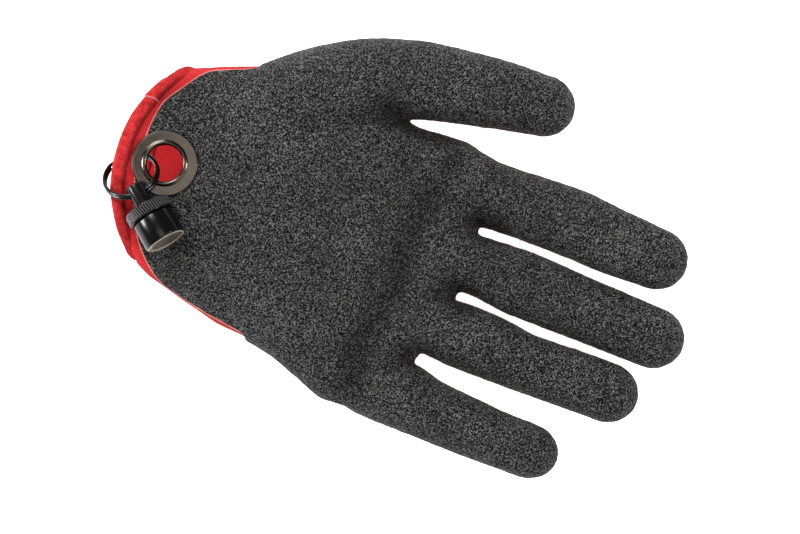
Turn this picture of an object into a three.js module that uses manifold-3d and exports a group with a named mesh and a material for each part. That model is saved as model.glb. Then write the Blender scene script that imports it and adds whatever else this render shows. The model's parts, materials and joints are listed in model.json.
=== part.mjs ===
// A left-hand fish-handling glove lying on its back with the palm up.
// A knitted liner carries a thick latex skin over the palm and the digits. Near the cuff a metal
// eyelet takes a split ring, and a magnetic clip hangs on that ring and lies on the heel of the palm.
// +X runs from the cuff to the fingertips, +Y to the thumb and +Z up out of the palm.

import * as THREE from 'three';
import { mergeVertices } from 'three/addons/utils/BufferGeometryUtils.js';
import Module from 'manifold-3d';

const wasm = await Module();
wasm.setup();

// Sizes of the hand, in millimetres
const gloveLength = 218.5; // cuff edge to the tip of the middle finger
const palmWidth = 105; // across the roots of the four fingers
const palmDepth = 33; // floor to the palm side at the wrist
const digitDepth = 20; // thickness of a finger
const tipLength = 11.5; // length of the round end of a digit
const settle = 2.5; // how far the back of the hand is pressed flat on the floor
const digitLift = 0.8; // the same for a finger, at its root

// Cloth and skin
const knitWall = 1.1;
const coatingWall = 0.8;
const fitGap = 0.3; // clearance between pieces that touch
const coatingSetback = 11.2; // cuff edge to the edge of the latex, at the eyelet
const dipTilt = 0.05; // rise of the latex edge towards the thumb, in mm per mm

// Cuff
const cuffSweep = 14; // how far the palm side of the cuff reaches past its sides
const backSweep = 9; // the same for its back
const cuffCurve = 2.2; // power of the curve of the cuff edge
const hemWidth = 4.6;
const hemDepth = 3.1;
const lapRise = 0.7; // step where one end of the hem laps the other
const lapLength = 9;

// Split ring
const ringDiameter = 21; // outside
const ringWire = 1.35;
const ringPitch = 1.48; // from one coil to the next
const jogPlace = 250; // degrees round the ring to the jog between the coils
const jogHalf = 20; // degrees from the jog's middle to its ends
const ringSlack = 1.2; // between the wire and the cuff edge
const ringLean = 40; // degrees between the ring and the cloth
const ringBearing = 36; // degrees from the hand's axis to the line through both crossings
const ringAcross = 0.8; // where the ring rounds the cuff edge, across the hand

// Eyelet
const eyeletHole = 13; // clear diameter
const eyeletBarrelWall = 0.6;
const eyeletShoulder = 16.4; // diameter of the raised shoulder
const eyeletFlange = 23.6; // diameter of the flange
const flangeWall = 0.8;
const shoulderRise = 0.4;
const washerDiameter = 18;
const washerWall = 0.5;
const rollWall = 0.4; // the barrel's lip, rolled over the washer
const rollReach = 0.9;

// Magnetic clip, measured along its axis
const stemDiameter = 6.8;
const stemLead = 3.7; // stem end to the middle of its cross hole
const stemReach = 5.4; // middle of the cross hole to the collar
const stemHole = 4.1;
const stemRound = 1; // rounding of the stem's end
const collarDiameter = 17;
const collarLength = 4.5;
const knurlCount = 36;
const knurlDepth = 0.45;
const cupDiameter = 15.3;
const cupLength = 9.8;
const cupWall = 1.1;
const cupChamfer = 0.7;
const magnetDepth = 2.4;
const magnetInset = 0.25; // magnet face below the cup's rim
const clipBearing = -43; // degrees from the hand's axis to the clip's axis, seen from above

const palmColumns = 26;
const digitColumns = 10;

// Sections of the hand from cuff to webs. at is a share of gloveLength and marks the sides of the
// section, low and high are shares of palmWidth, top is a share of palmDepth, power squares the
// section off, and lead is the share of cuffSweep by which the palm side runs ahead of the sides.
const palmSections = [
  { at: 0.0755, low: -0.222, high: 0.468, top: 1.000, power: 3.8, lead: 1.00 },
  { at: 0.1150, low: -0.274, high: 0.496, top: 1.000, power: 3.7, lead: 0.84 },
  { at: 0.1430, low: -0.295, high: 0.517, top: 1.000, power: 3.5, lead: 0.66 },
  { at: 0.1760, low: -0.321, high: 0.538, top: 1.005, power: 3.3, lead: 0.45 },
  { at: 0.2100, low: -0.344, high: 0.558, top: 1.030, power: 3.1, lead: 0.26 },
  { at: 0.2450, low: -0.368, high: 0.572, top: 1.070, power: 2.9, lead: 0.10 },
  { at: 0.2860, low: -0.381, high: 0.578, top: 1.110, power: 2.8, lead: 0 },
  { at: 0.3410, low: -0.411, high: 0.570, top: 1.100, power: 2.7, lead: 0 },
  { at: 0.3960, low: -0.462, high: 0.543, top: 1.040, power: 2.7, lead: 0 },
  { at: 0.4500, low: -0.508, high: 0.501, top: 0.970, power: 2.7, lead: 0 },
  { at: 0.5050, low: -0.511, high: 0.481, top: 0.850, power: 2.7, lead: 0 },
  { at: 0.5750, low: -0.478, high: 0.444, top: 0.750, power: 2.6, lead: 0 },
  { at: 0.6030, low: -0.440, high: 0.410, top: 0.620, power: 2.4, lead: 0 },
  { at: 0.6200, low: -0.390, high: 0.360, top: 0.430, power: 2.2, lead: 0 },
];
// How far the webs lie behind the furthest one. across is a share of palmWidth, back of gloveLength.
const webLine = [
  { across: -0.55, back: 0.070 },
  { across: -0.40, back: 0.058 },
  { across: -0.286, back: 0.041 },
  { across: -0.16, back: 0.016 },
  { across: -0.03, back: 0.005 },
  { across: 0.20, back: 0 },
  { across: 0.33, back: 0.006 },
  { across: 0.50, back: 0.040 },
];
const webStart = 0.455; // share of gloveLength from which the webs shape the palm
const noseFloor = 0.21; // underside of the last palm section, as a share of palmDepth
const noseLength = 0.06; // share of gloveLength over which the underside rises to it

// Digits from root to the start of the round tip. at is a share of gloveLength, low and high are
// shares of palmWidth, bottom and top are shares of digitDepth.
const digitSections = {
  index: [
    { at: 0.436, low: 0.260, high: 0.435, bottom: 0.15, top: 1.20 },
    { at: 0.478, low: 0.242, high: 0.490, bottom: 0.00, top: 1.22 },
    { at: 0.551, low: 0.215, high: 0.488, bottom: 0.00, top: 1.30 },
    { at: 0.592, low: 0.213, high: 0.465, bottom: 0.00, top: 1.30 },
    { at: 0.629, low: 0.214, high: 0.449, bottom: 0.00, top: 1.22 },
    { at: 0.767, low: 0.190, high: 0.437, bottom: 0.06, top: 1.14 },
    { at: 0.835, low: 0.180, high: 0.413, bottom: 0.13, top: 1.16 },
    { at: 0.917, low: 0.171, high: 0.384, bottom: 0.24, top: 1.18 },
  ],
  middle: [
    { at: 0.450, low: -0.005, high: 0.210, bottom: 0.15, top: 1.20 },
    { at: 0.515, low: -0.022, high: 0.200, bottom: 0.00, top: 1.25 },
    { at: 0.592, low: -0.020, high: 0.188, bottom: 0.00, top: 1.32 },
    { at: 0.629, low: -0.020, high: 0.187, bottom: 0.00, top: 1.24 },
    { at: 0.698, low: -0.047, high: 0.188, bottom: 0.02, top: 1.16 },
    { at: 0.835, low: -0.073, high: 0.149, bottom: 0.13, top: 1.16 },
    { at: 0.904, low: -0.087, high: 0.130, bottom: 0.22, top: 1.18 },
    { at: 0.947, low: -0.095, high: 0.118, bottom: 0.28, top: 1.20 },
  ],
  ring: [
    { at: 0.430, low: -0.262, high: -0.040, bottom: 0.15, top: 1.20 },
    { at: 0.490, low: -0.268, high: -0.050, bottom: 0.00, top: 1.25 },
    { at: 0.575, low: -0.260, high: -0.053, bottom: 0.00, top: 1.28 },
    { at: 0.629, low: -0.277, high: -0.052, bottom: 0.00, top: 1.20 },
    { at: 0.698, low: -0.290, high: -0.067, bottom: 0.02, top: 1.14 },
    { at: 0.767, low: -0.300, high: -0.095, bottom: 0.07, top: 1.12 },
    { at: 0.835, low: -0.309, high: -0.101, bottom: 0.15, top: 1.13 },
    { at: 0.899, low: -0.319, high: -0.110, bottom: 0.24, top: 1.14 },
  ],
  little: [
    { at: 0.415, low: -0.435, high: -0.290, bottom: 0.20, top: 1.10 },
    { at: 0.460, low: -0.489, high: -0.292, bottom: 0.05, top: 1.15 },
    { at: 0.506, low: -0.524, high: -0.296, bottom: 0.00, top: 1.20 },
    { at: 0.584, low: -0.543, high: -0.306, bottom: 0.02, top: 1.15 },
    { at: 0.629, low: -0.552, high: -0.338, bottom: 0.06, top: 1.10 },
    { at: 0.698, low: -0.567, high: -0.362, bottom: 0.12, top: 1.08 },
    { at: 0.757, low: -0.575, high: -0.381, bottom: 0.20, top: 1.10 },
    { at: 0.798, low: -0.581, high: -0.389, bottom: 0.25, top: 1.12 },
  ],
  thumb: [
    { at: 0.130, low: 0.240, high: 0.430, bottom: 0.30, top: 1.35 },
    { at: 0.231, low: 0.276, high: 0.598, bottom: 0.10, top: 1.76 },
    { at: 0.286, low: 0.324, high: 0.667, bottom: 0.05, top: 1.86 },
    { at: 0.355, low: 0.385, high: 0.732, bottom: 0.10, top: 1.88 },
    { at: 0.414, low: 0.447, high: 0.763, bottom: 0.25, top: 1.82 },
    { at: 0.458, low: 0.503, high: 0.779, bottom: 0.35, top: 1.72 },
    { at: 0.584, low: 0.548, high: 0.790, bottom: 0.42, top: 1.57 },
    { at: 0.665, low: 0.570, high: 0.781, bottom: 0.42, top: 1.52 },
  ],
};
const digitPower = 2.3;
const fingerStart = 0.632; // share of gloveLength where the liner's palm ends and its fingers start
const thumbStart = 0.476; // the same for its thumb
const thumbSide = 0.5; // share of palmWidth beyond which only the thumb lies there

// Swells and hollows of the palm side. at and reach are shares of gloveLength, across of palmWidth,
// rise of palmDepth.
const palmRelief = [
  { at: 0.175, across: -0.165, reach: 0.100, rise: 0.060 }, // heel, where the clip's cup lies
  { at: 0.096, across: -0.052, reach: 0.055, rise: -0.150 }, // pressed in by the clip's collar
  { at: 0.300, across: -0.200, reach: 0.120, rise: 0.050 }, // outer edge of the palm
  { at: 0.400, across: 0.080, reach: 0.130, rise: -0.080 }, // hollow of the palm
];

// The edge of the latex seen from above: back is a share of gloveLength behind coatingSetback.
const dipLine = [
  { across: -0.700, back: 0.300 },
  { across: -0.368, back: 0.243 },
  { across: -0.320, back: 0.158 },
  { across: -0.272, back: 0.092 },
  { across: -0.216, back: 0.060 },
  { across: -0.127, back: 0.030 },
  { across: 0.035, back: 0.005 },
  { across: 0.133, back: 0.000 },
  { across: 0.229, back: 0.004 },
  { across: 0.309, back: 0.012 },
  { across: 0.395, back: 0.040 },
  { across: 0.463, back: 0.069 },
  { across: 0.532, back: 0.145 },
  { across: 0.700, back: 0.170 },
];
// The same edge along the sides of the hand: height is a share of palmDepth.
const dipHeights = [
  { at: 0.00, height: 0.42 },
  { at: 0.18, height: 0.42 },
  { at: 0.28, height: 0.36 },
  { at: 0.42, height: 0.30 },
  { at: 0.60, height: 0.27 },
  { at: 1.10, height: 0.27 },
];

const rad = THREE.MathUtils.degToRad;
const up = new THREE.Vector3(0, 0, 1);
const beyond = 2 * gloveLength; // reaches past the whole glove on every side

// Value of one column of a table, read between its rows along another column
function between(rows, key, place, column) {
  let i = 1;
  while (i < rows.length - 1 && rows[i][key] < place) i += 1;
  const a = rows[i - 1];
  const b = rows[i];
  const t = THREE.MathUtils.clamp((place - a[key]) / (b[key] - a[key]), 0, 1);
  return THREE.MathUtils.lerp(a[column], b[column], t);
}

// Height that the swells and hollows add to the palm side
function reliefAt(x, y) {
  let rise = 0;
  for (const row of palmRelief) {
    const far = Math.hypot(x - row.at * gloveLength, y - row.across * palmWidth);
    const t = Math.min(far / (row.reach * gloveLength), 1);
    rise += row.rise * palmDepth * Math.cos(t * Math.PI / 2) ** 2;
  }
  return rise;
}

// One point of a squared oval, with u across and v up, both from -1 to 1
function ovalPoint(column, columns, power) {
  const angle = 2 * Math.PI * column / columns;
  const u = Math.cos(angle);
  const v = Math.sign(Math.round(1e6 * Math.sin(angle))) * (1 - Math.abs(u) ** power) ** (1 / power);
  return { u, v };
}

// A closed body from rings of points, each end shut by a fan
function loft(rings) {
  const columns = rings[0].length;
  const points = rings.flat();
  const triangles = [];
  for (let r = 0; r < rings.length - 1; r += 1) {
    for (let c = 0; c < columns; c += 1) {
      const a = r * columns + c;
      const b = r * columns + (c + 1) % columns;
      triangles.push(a, b, a + columns, b, b + columns, a + columns);
    }
  }
  const first = points.length;
  points.push(centreOf(rings[0]), centreOf(rings[rings.length - 1]));
  const lastRing = (rings.length - 1) * columns;
  for (let c = 0; c < columns; c += 1) {
    const next = (c + 1) % columns;
    triangles.push(first, next, c);
    triangles.push(first + 1, lastRing + c, lastRing + next);
  }
  return fromPoints(points, triangles);
}

function centreOf(ring) {
  const sum = new THREE.Vector3();
  for (const point of ring) sum.add(point);
  return sum.divideScalar(ring.length);
}

function fromPoints(points, triangles) {
  const geometry = new THREE.BufferGeometry();
  geometry.setAttribute('position', new THREE.Float32BufferAttribute(points.flatMap((p) => p.toArray()), 3));
  geometry.setIndex(triangles);
  return geometry;
}

// Solids for joining and cutting, and back
function solidOf(geometry) {
  const bare = geometry.clone();
  bare.deleteAttribute('normal');
  bare.deleteAttribute('uv');
  const merged = mergeVertices(bare, 1e-4);
  return new wasm.Manifold(new wasm.Mesh({
    numProp: 3,
    vertProperties: new Float32Array(merged.attributes.position.array),
    triVerts: new Uint32Array(merged.index.array),
  }));
}

function geometryOf(solid) {
  const mesh = solid.getMesh();
  const geometry = new THREE.BufferGeometry();
  geometry.setAttribute('position', new THREE.BufferAttribute(mesh.vertProperties, 3));
  geometry.setIndex(new THREE.BufferAttribute(mesh.triVerts, 1));
  return geometry;
}

// x of a point of the wrist: its palm side and its back run ahead of the sides
function sweptX(section, u, v) {
  const reach = 1 - Math.abs(u) ** cuffCurve;
  const shift = v > 0 ? -cuffSweep * reach : -backSweep * reach;
  return section.at * gloveLength + section.lead * shift;
}

// A ring of the palm. inset draws it in from the outside of the glove, and along moves it.
function palmRing(section, inset, along = 0) {
  const low = section.low * palmWidth + inset;
  const high = section.high * palmWidth - inset;
  const noseShare = THREE.MathUtils.clamp((section.at - palmSections.at(-1).at) / noseLength + 1, 0, 1);
  const bottom = Math.max(noseFloor * palmDepth * noseShare ** 2 - settle, -settle) + inset;
  const top = section.top * palmDepth - inset;
  const floor = inset - knitOutside;
  const ring = [];
  for (let c = 0; c < palmColumns; c += 1) {
    const { u, v } = ovalPoint(c, palmColumns, section.power);
    const y = (low + high) / 2 + u * (high - low) / 2;
    let x = sweptX(section, u, v) + along;
    const webShare = Math.max((section.at - webStart) / (palmSections.at(-1).at - webStart), 0);
    x -= webShare * between(webLine, 'across', y / palmWidth, 'back') * gloveLength;
    x -= webShare ** 2 * inset;
    let z = (bottom + top) / 2 + v * (top - bottom) / 2;
    if (v > 0) z += v * reliefAt(x, y);
    ring.push(new THREE.Vector3(x, y, Math.max(z, floor)));
  }
  return ring;
}

// A ring of a digit, drawn in to the share grow of its size
function digitRing(section, inset, x, grow) {
  const low = section.low * palmWidth + inset;
  const high = section.high * palmWidth - inset;
  const bottom = section.bottom * digitDepth - digitLift + inset;
  const top = section.top * digitDepth - inset;
  const ring = [];
  for (let c = 0; c < digitColumns; c += 1) {
    const { u, v } = ovalPoint(c, digitColumns, digitPower);
    const y = (low + high) / 2 + grow * u * (high - low) / 2;
    const z = (bottom + top) / 2 + grow * v * (top - bottom) / 2;
    ring.push(new THREE.Vector3(x, y, Math.max(z, inset - knitOutside)));
  }
  return ring;
}

const tipSteps = [0.5, 0.86]; // rings of the round tip, as shares of its length
const tipEnd = 0.22; // size of the last ring

function digitLoft(rows, inset) {
  const rings = rows.map((row) => digitRing(row, inset, row.at * gloveLength, 1));
  const last = rows.at(-1);
  const reach = tipLength - inset;
  for (const step of tipSteps) {
    rings.push(digitRing(last, inset, last.at * gloveLength + step * reach, Math.sqrt(1 - step * step)));
  }
  rings.push(digitRing(last, inset, last.at * gloveLength + reach, tipEnd));
  return loft(rings);
}

// The whole hand as one solid, drawn in by inset, its mouth moved by along
function handSolid(inset, along) {
  const rings = palmSections.map((row) => palmRing(row, inset));
  const mouth = palmRing(palmSections[0], inset, along);
  if (along < 0) rings.unshift(mouth);
  else rings[0] = mouth;
  let solid = solidOf(loft(rings));
  for (const rows of Object.values(digitSections)) solid = solid.add(solidOf(digitLoft(rows, inset)));
  return solid;
}

const coatingInside = coatingWall;
const knitOutside = coatingWall + fitGap;
const knitInside = knitOutside + knitWall;
const mouthCut = -hemWidth; // the inner shapes start ahead of the cuff, so the mouth is open

// Where the ring crosses the cuff edge and the hole fixes the eyelet
const ringRadius = (ringDiameter - ringWire) / 2;
const chord = new THREE.Vector3(Math.cos(rad(ringBearing)), Math.sin(rad(ringBearing)), 0);
const seatHeight = palmSections[1].top * palmDepth;
const flangeLow = seatHeight - knitOutside + fitGap; // the flange is let into the latex
const flangeTop = flangeLow + flangeWall;
const rimTop = flangeTop + shoulderRise;
const washerTop = seatHeight - knitInside - fitGap;
const rollTop = washerTop - washerWall - fitGap;
const rimBottom = rollTop - rollWall;
const ringHeight = (rimTop + rimBottom) / 2;
const lean = rad(ringLean);
const slantRun = (rimTop - rimBottom) / 2 / Math.tan(lean) + ringPitch / 2 / Math.sin(lean);
const slantHalf = Math.min(slantRun / Math.cos(lean), ringRadius);
const slantSag = ringRadius - Math.sqrt(ringRadius ** 2 - slantHalf ** 2);
const holeRoom = eyeletHole / 2 - fitGap - ringWire / 2;
const ringInHole = Math.sqrt(Math.max(holeRoom ** 2 - slantRun ** 2, 0)) - slantSag;

function cuffEdge(y) {
  const row = palmSections[0];
  const middle = (row.low + row.high) / 2 * palmWidth;
  const u = (y - middle) / ((row.high - row.low) / 2 * palmWidth);
  return new THREE.Vector3(sweptX(row, u, 1), y, ringHeight);
}

const ringCentre = cuffEdge(ringAcross).addScaledVector(chord, ringRadius - ringWire / 2 - ringSlack);
const eyeletCentre = ringCentre.clone().addScaledVector(chord, ringRadius + ringInHole);

// Metal eyelet and its washer
function turned(profile, segments) {
  const points = profile.map(([radius, height]) => new THREE.Vector2(radius, height)).reverse();
  return new THREE.LatheGeometry([...points, points[0]], segments).rotateX(Math.PI / 2);
}

function roundBar(radius, length, segments) {
  return new THREE.CylinderGeometry(radius, radius, length, segments).rotateX(Math.PI / 2);
}

const barrelRadius = eyeletHole / 2 + eyeletBarrelWall;

function makeEyelet() {
  const hole = eyeletHole / 2;
  const edge = flangeWall / 2;
  return turned([
    [hole, rimBottom + rollWall / 3],
    [hole, rimTop - shoulderRise],
    [hole + shoulderRise, rimTop],
    [eyeletShoulder / 2 - shoulderRise, rimTop],
    [eyeletShoulder / 2, flangeTop],
    [eyeletFlange / 2 - edge, flangeTop - edge / 4],
    [eyeletFlange / 2, flangeLow + edge],
    [eyeletFlange / 2 - edge / 2, flangeLow],
    [barrelRadius, flangeLow],
    [barrelRadius, rollTop],
    [barrelRadius + rollReach, rollTop],
    [barrelRadius + rollReach, rollTop - rollWall / 2],
    [barrelRadius + rollReach - rollWall, rimBottom],
    [hole + rollWall, rimBottom],
  ], 24).translate(eyeletCentre.x, eyeletCentre.y, 0);
}

function makeWasher() {
  const outer = washerDiameter / 2;
  const bore = barrelRadius + fitGap;
  const low = washerTop - washerWall;
  return turned([
    [bore, low],
    [bore, washerTop],
    [outer - washerWall / 2, washerTop],
    [outer, low + washerWall / 2],
    [outer - washerWall / 2, low],
  ], 24).translate(eyeletCentre.x, eyeletCentre.y, 0);
}

function eyeletCut(radius) {
  const bar = roundBar(radius + fitGap, palmDepth, 24);
  return solidOf(bar.translate(eyeletCentre.x, eyeletCentre.y, seatHeight));
}

// All that lies further along the hand than start and further across it than side
function farBlock(start, side) {
  const box = new THREE.BoxGeometry(beyond, beyond, beyond);
  return solidOf(box.translate(start + beyond / 2, side + beyond / 2, 0));
}

// Knitted palm and back of the liner, from the hem to the roots of the digits
function makeLiner() {
  const outside = handSolid(knitOutside, hemWidth + fitGap);
  const wall = outside.subtract(handSolid(knitInside, mouthCut));
  const seat = roundBar(washerDiameter / 2 + fitGap, palmDepth / 2, 24);
  seat.translate(eyeletCentre.x, eyeletCentre.y, washerTop + fitGap / 2 - palmDepth / 4);
  const fingers = farBlock(fingerStart * gloveLength - fitGap / 2, -beyond / 2);
  const thumb = farBlock(thumbStart * gloveLength - fitGap / 2, thumbSide * palmWidth);
  const pierced = wall.subtract(eyeletCut(barrelRadius)).subtract(solidOf(seat));
  return geometryOf(pierced.subtract(fingers).subtract(thumb));
}

// Knitted sleeve of one digit, open at its root
function makeSleeve(rows, start) {
  const wall = solidOf(digitLoft(rows, knitOutside)).subtract(solidOf(digitLoft(rows, knitInside)));
  return geometryOf(wall.intersect(farBlock(start * gloveLength + fitGap / 2, -beyond / 2)));
}

// Latex skin: kept above the dip line, which is one outline from above and one from the side
function makeCoating() {
  const shell = handSolid(0, 0).subtract(handSolid(coatingInside, mouthCut));
  const plan = new THREE.Shape();
  plan.moveTo(beyond, -beyond);
  for (const row of dipLine) {
    plan.lineTo(coatingSetback + row.back * gloveLength, row.across * palmWidth);
  }
  plan.lineTo(beyond, beyond);
  const fromAbove = new THREE.ExtrudeGeometry(plan, { depth: beyond, bevelEnabled: false });
  const side = new THREE.Shape();
  side.moveTo(-beyond, beyond);
  side.lineTo(-beyond, dipHeights[0].height * palmDepth);
  for (const row of dipHeights) side.lineTo(row.at * gloveLength, row.height * palmDepth);
  side.lineTo(dipHeights.at(-1).at * gloveLength, beyond);
  const fromSide = new THREE.ExtrudeGeometry(side, { depth: beyond, bevelEnabled: false });
  const slope = new THREE.Matrix4().makeShear(0, 0, 0, dipTilt, 0, 0);
  fromSide.rotateX(Math.PI / 2).translate(0, beyond / 2, 0).applyMatrix4(slope);
  const skin = shell.intersect(solidOf(fromAbove)).intersect(solidOf(fromSide));
  return geometryOf(skin.subtract(eyeletCut(eyeletFlange / 2)));
}

// Rolled hem. along is a share of hemWidth and deep of hemDepth, counted in from the outside.
const hemProfile = [
  { along: 0.00, deep: 0.50 },
  { along: 0.10, deep: 0.12 },
  { along: 0.35, deep: 0.00 },
  { along: 0.75, deep: 0.00 },
  { along: 0.95, deep: 0.10 },
  { along: 1.00, deep: 0.45 },
  { along: 0.96, deep: 0.90 },
  { along: 0.60, deep: 1.00 },
  { along: 0.12, deep: 0.90 },
];
const hemShift = 0.2; // the roll stands this far proud of the outside of the glove
const lapPlace = 0.71; // where the lap lies across the cuff, as a share of its half width

function makeHem() {
  const first = palmSections[0];
  const loops = hemProfile.map((row) => {
    const inset = row.deep * hemDepth - hemShift;
    return palmRing(first, inset, row.along * hemWidth).map((point, c) => {
      const { u, v } = ovalPoint(c, palmColumns, first.power);
      const halfWidth = (first.high - first.low) / 2 * palmWidth;
      const near = 1 - Math.abs(u - lapPlace) * halfWidth / (lapLength / 2);
      const step = v > 0 && row.deep < 0.5 ? lapRise * THREE.MathUtils.clamp(2 * near, 0, 1) : 0;
      return new THREE.Vector3(point.x - step / 2, point.y, Math.max(point.z + step * v, 0));
    });
  });
  const points = loops.flat();
  const triangles = [];
  for (let r = 0; r < loops.length; r += 1) {
    for (let c = 0; c < palmColumns; c += 1) {
      const next = (c + 1) % palmColumns;
      const a = r * palmColumns;
      const b = (r + 1) % loops.length * palmColumns;
      triangles.push(a + c, a + next, b + c, a + next, b + next, b + c);
    }
  }
  return fromPoints(points, triangles);
}

// Split ring: one wire wound twice, with a jog from coil to coil between its two ends
class Coil extends THREE.Curve {
  getPoint(t, target = new THREE.Vector3()) {
    const turned = rad(jogHalf) * (1 - 2 * t) + 4 * Math.PI * t;
    const side = THREE.MathUtils.clamp((turned - 2 * Math.PI) / rad(jogHalf), -1, 1);
    const angle = turned + rad(jogPlace);
    return target.set(ringRadius * Math.cos(angle), ringRadius * Math.sin(angle), side * ringPitch / 2);
  }
}

function wireSection(radius, sides) {
  const shape = new THREE.Shape();
  for (let i = 0; i < sides; i += 1) {
    const angle = 2 * Math.PI * i / sides;
    if (i === 0) shape.moveTo(radius, 0);
    else shape.lineTo(radius * Math.cos(angle), radius * Math.sin(angle));
  }
  shape.closePath();
  return shape;
}

// The ring's frame: its first axis lies along the chord and its second leans up over the palm
const ringSide = new THREE.Vector3(Math.sin(rad(ringBearing)), -Math.cos(rad(ringBearing)), 0);
const ringFront = ringSide.clone().multiplyScalar(Math.cos(lean)).addScaledVector(up, Math.sin(lean));

function makeRing() {
  const settings = { steps: 46, bevelEnabled: false, extrudePath: new Coil() };
  const wire = new THREE.ExtrudeGeometry(wireSection(ringWire / 2, 6), settings);
  const frame = new THREE.Matrix4().makeBasis(chord, ringFront, chord.clone().cross(ringFront));
  return wire.applyMatrix4(frame.setPosition(ringCentre));
}

// Magnetic clip, made along +Z from the middle of its cross hole
const collarNear = stemReach;
const collarFar = collarNear + collarLength;
const cupNear = collarFar + fitGap;
const cupFar = cupNear + cupLength;

function makeStem(holeDirection) {
  const radius = stemDiameter / 2;
  const body = turnedSolid([
    [0, -stemLead],
    [radius - stemRound, -stemLead],
    [radius, stemRound - stemLead],
    [radius, collarFar],
    [0, collarFar],
  ], 20);
  const drill = new THREE.CylinderGeometry(stemHole / 2, stemHole / 2, 2 * stemDiameter, 16);
  const turn = new THREE.Quaternion().setFromUnitVectors(new THREE.Vector3(0, 1, 0), holeDirection);
  return geometryOf(solidOf(body).subtract(solidOf(drill.applyQuaternion(turn))));
}

function turnedSolid(profile, segments) {
  const points = profile.map(([radius, height]) => new THREE.Vector2(radius, height));
  return new THREE.LatheGeometry(points, segments).rotateX(Math.PI / 2);
}

function makeCollar() {
  const shape = new THREE.Shape();
  for (let i = 0; i < 2 * knurlCount; i += 1) {
    const angle = Math.PI * i / knurlCount;
    const radius = collarDiameter / 2 - (i % 2) * knurlDepth;
    if (i === 0) shape.moveTo(radius, 0);
    else shape.lineTo(radius * Math.cos(angle), radius * Math.sin(angle));
  }
  shape.closePath();
  const bore = new THREE.Path();
  bore.absarc(0, 0, stemDiameter / 2 + fitGap, 0, 2 * Math.PI, true);
  shape.holes.push(bore);
  const settings = { depth: collarLength, bevelEnabled: false, curveSegments: 20 };
  return new THREE.ExtrudeGeometry(shape, settings).translate(0, 0, collarNear);
}

function makeCup() {
  const radius = cupDiameter / 2;
  const recess = cupFar - magnetDepth - fitGap;
  return turnedSolid([
    [0, cupNear],
    [radius - cupChamfer / 2, cupNear],
    [radius, cupNear + cupChamfer / 2],
    [radius, cupFar - cupChamfer],
    [radius - cupChamfer, cupFar],
    [radius - cupWall, cupFar],
    [radius - cupWall, recess],
    [0, recess],
  ], 28);
}

function makeMagnet() {
  const radius = cupDiameter / 2 - cupWall - fitGap;
  const face = cupFar - magnetInset;
  return turnedSolid([
    [0, cupFar - magnetDepth],
    [radius, cupFar - magnetDepth],
    [radius, face],
    [0, face],
  ], 24);
}

// The clip pivots on the ring until its collar or cup rests on the glove
const clipHeading = new THREE.Vector3(Math.cos(rad(clipBearing)), Math.sin(rad(clipBearing)), 0);
const hangAngle = 85; // degrees round the ring, from the chord to the clip
const steepestTilt = 60; // degrees
const tiltStep = 0.5;
const hangPoint = ringCentre.clone()
  .addScaledVector(chord, ringRadius * Math.cos(rad(hangAngle)))
  .addScaledVector(ringFront, ringRadius * Math.sin(rad(hangAngle)));

function clipTurn(tilt) {
  const along = clipHeading.clone().multiplyScalar(Math.cos(tilt)).addScaledVector(up, Math.sin(tilt));
  const side = new THREE.Vector3().crossVectors(up, along).normalize();
  return new THREE.Matrix4().makeBasis(side, new THREE.Vector3().crossVectors(along, side), along);
}

function restingTilt(surface) {
  const caster = new THREE.Raycaster();
  const down = up.clone().negate();
  const rims = [[collarNear, collarDiameter], [collarFar, collarDiameter], [cupFar, cupDiameter]];
  const clears = (tilt) => {
    const turn = clipTurn(tilt);
    return rims.every(([along, diameter]) => {
      for (let a = 0; a < 360; a += 15) {
        const point = new THREE.Vector3(Math.cos(rad(a)), Math.sin(rad(a)), 0).multiplyScalar(diameter / 2);
        point.setZ(along).applyMatrix4(turn).add(hangPoint);
        caster.set(point.clone().setZ(2 * palmDepth), down);
        const hit = caster.intersectObjects(surface)[0];
        if (hit && point.z < hit.point.z + fitGap) return false;
      }
      return true;
    });
  };
  let tilt = 0;
  while (tilt < rad(steepestTilt) && !clears(tilt)) tilt += rad(tiltStep);
  return tilt;
}

// Finishes
function finish(color, roughness, metalness) {
  return new THREE.MeshStandardMaterial({ color, roughness, metalness });
}

const redKnit = finish(0xd22a30, 0.9, 0);
const redHem = finish(0xc8242b, 0.92, 0);
const blackLatex = finish(0x3a3a3c, 0.55, 0);
const gunmetal = finish(0x5a5148, 0.3, 0.9);
const washerMetal = finish(0x6b6259, 0.4, 0.9);
const ringSteel = finish(0x2b2b2d, 0.3, 0.9);
const satinBlack = finish(0x1c1c1e, 0.35, 0.6);
const collarBlack = finish(0x202022, 0.4, 0.6);
const cupBlack = finish(0x19191b, 0.3, 0.6);
const magnetFace = finish(0x8a7d70, 0.25, 0.95);

function piece(name, geometry, material) {
  geometry.computeVertexNormals();
  const mesh = new THREE.Mesh(geometry, material);
  mesh.name = name;
  mesh.updateMatrixWorld();
  return mesh;
}

const glove = new THREE.Group();
const liner = piece('knit_liner', makeLiner(), redKnit);
const coating = piece('palm_coating', makeCoating(), blackLatex);
glove.add(liner, coating);
for (const [digit, rows] of Object.entries(digitSections)) {
  const start = digit === 'thumb' ? thumbStart : fingerStart;
  glove.add(piece(`knit_${digit}`, makeSleeve(rows, start), redKnit));
}
glove.add(piece('cuff_hem', makeHem(), redHem));
glove.add(piece('eyelet', makeEyelet(), gunmetal));
glove.add(piece('eyelet_washer', makeWasher(), washerMetal));
glove.add(piece('split_ring', makeRing(), ringSteel));

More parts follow.
